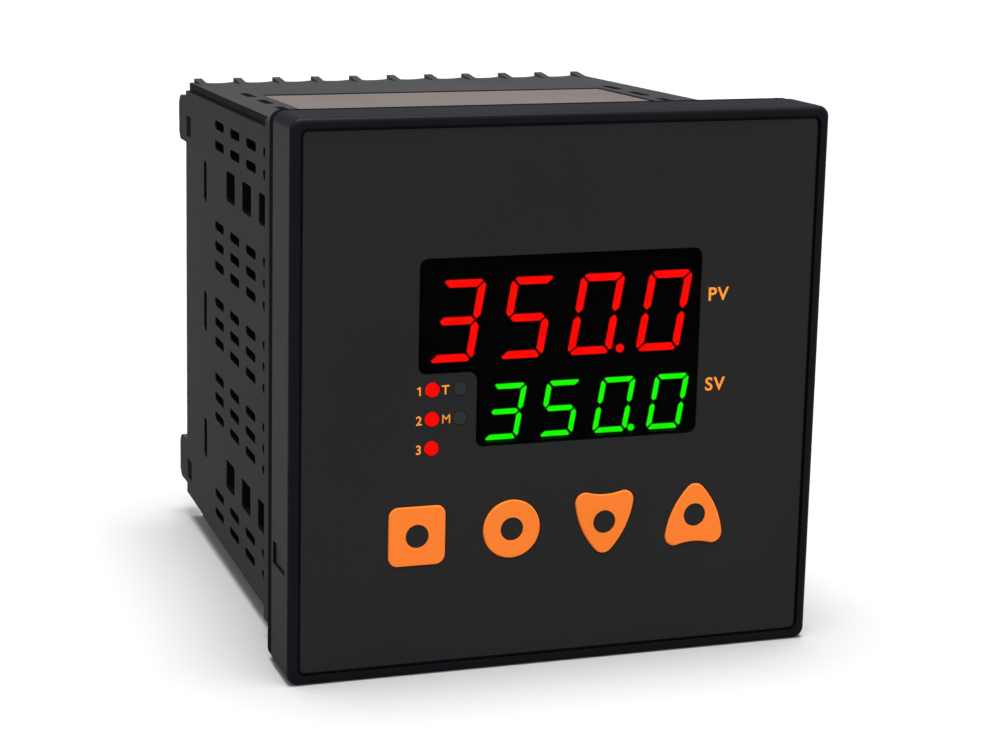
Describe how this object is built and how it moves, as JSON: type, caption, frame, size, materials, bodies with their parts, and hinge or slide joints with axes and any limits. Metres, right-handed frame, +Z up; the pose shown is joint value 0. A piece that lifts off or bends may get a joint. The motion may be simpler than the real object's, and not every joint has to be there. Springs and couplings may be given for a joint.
{
  "type": "panel temperature controller",
  "caption": "Square panel instrument with an L-shaped lit display, shaped push keys, a vented moulded case behind the panel and screw terminals at the rear.",
  "frame": {"origin": "centre of the panel cut-out, in the plane of the panel's front face, which is the gasket's rear face", "axes": "+X to the right and +Z up for somebody facing the display, +Y through the panel towards the terminals"},
  "size_m": [0.096, 0.107, 0.096],
  "materials": {
    "bezel_plastic": "fine moulded texture",
    "gasket_rubber": "smooth",
    "overlay_film": "fine printed film",
    "window_filter": "smooth tinted",
    "case_plastic": "fine moulded texture",
    "label_grey": "plain sticker",
    "terminal_plastic": "moulded",
    "digits_red": "lit",
    "digits_green": "lit",
    "module_black": "moulded",
    "lamp_red": "lit",
    "lamp_off": "unlit lens",
    "board_green": "solder resist",
    "plated_steel": "zinc plated",
    "tinned_brass": "tinned",
    "chip_black": "moulded",
    "relay_case": "moulded",
    "ferrite": "sintered",
    "winding_tape": "tape",
    "capacitor_sleeve": "shrunk sleeve",
    "key_orange": "satin",
    "key_dot_dark": "satin"
  },
  "bodies": {
    "controller": {"front_bezel": "bezel_plastic", "panel_gasket": "gasket_rubber", "front_overlay": "overlay_film", "display_window": "window_filter", "case": "case_plastic", "top_label": "label_grey", "upper_terminal_block": "terminal_plastic", "lower_terminal_block": "terminal_plastic", "upper_digits": "digits_red", "lower_digits": "digits_green", "upper_display_module": "module_black", "lower_display_module": "module_black", "output_lamp_1": "lamp_red", "output_lamp_2": "lamp_red", "output_lamp_3": "lamp_red", "tune_lamp": "lamp_off", "manual_lamp": "lamp_off", "display_board": "board_green", "display_board_screws": "plated_steel", "upper_terminal_lugs": "tinned_brass", "lower_terminal_lugs": "tinned_brass", "upper_clamp_plates": "plated_steel", "lower_clamp_plates": "plated_steel", "upper_terminal_screws": "plated_steel", "lower_terminal_screws": "plated_steel", "control_board": "board_green", "power_board": "board_green", "control_header": "module_black", "power_header": "module_black", "controller_chip": "chip_black", "relay_1": "relay_case", "relay_2": "relay_case", "relay_3": "relay_case", "transformer_core": "ferrite", "transformer_winding": "winding_tape", "bulk_capacitor": "capacitor_sleeve", "output_capacitor": "capacitor_sleeve", "square_switch": "module_black", "round_switch": "module_black", "down_switch": "module_black", "up_switch": "module_black"},
    "square_button": {"square_key": "key_orange", "square_key_dot": "key_dot_dark", "square_switch_plunger": "module_black"},
    "round_button": {"round_key": "key_orange", "round_key_dot": "key_dot_dark", "round_switch_plunger": "module_black"},
    "down_button": {"down_key": "key_orange", "down_key_dot": "key_dot_dark", "down_switch_plunger": "module_black"},
    "up_button": {"up_key": "key_orange", "up_key_dot": "key_dot_dark", "up_switch_plunger": "module_black"}
  },
  "joints": [
    {"name": "square_key_press", "type": "slide", "parent": "controller", "child": "square_button", "axis": [0, 1, 0], "range_m": [0, 0.0005], "stiffness_N_per_m": 2000, "springref_m": -0.0005},
    {"name": "round_key_press", "type": "slide", "parent": "controller", "child": "round_button", "axis": [0, 1, 0], "range_m": [0, 0.0005], "stiffness_N_per_m": 2000, "springref_m": -0.0005},
    {"name": "down_key_press", "type": "slide", "parent": "controller", "child": "down_button", "axis": [0, 1, 0], "range_m": [0, 0.0005], "stiffness_N_per_m": 2000, "springref_m": -0.0005},
    {"name": "up_key_press", "type": "slide", "parent": "controller", "child": "up_button", "axis": [0, 1, 0], "range_m": [0, 0.0005], "stiffness_N_per_m": 2000, "springref_m": -0.0005}
  ]
}
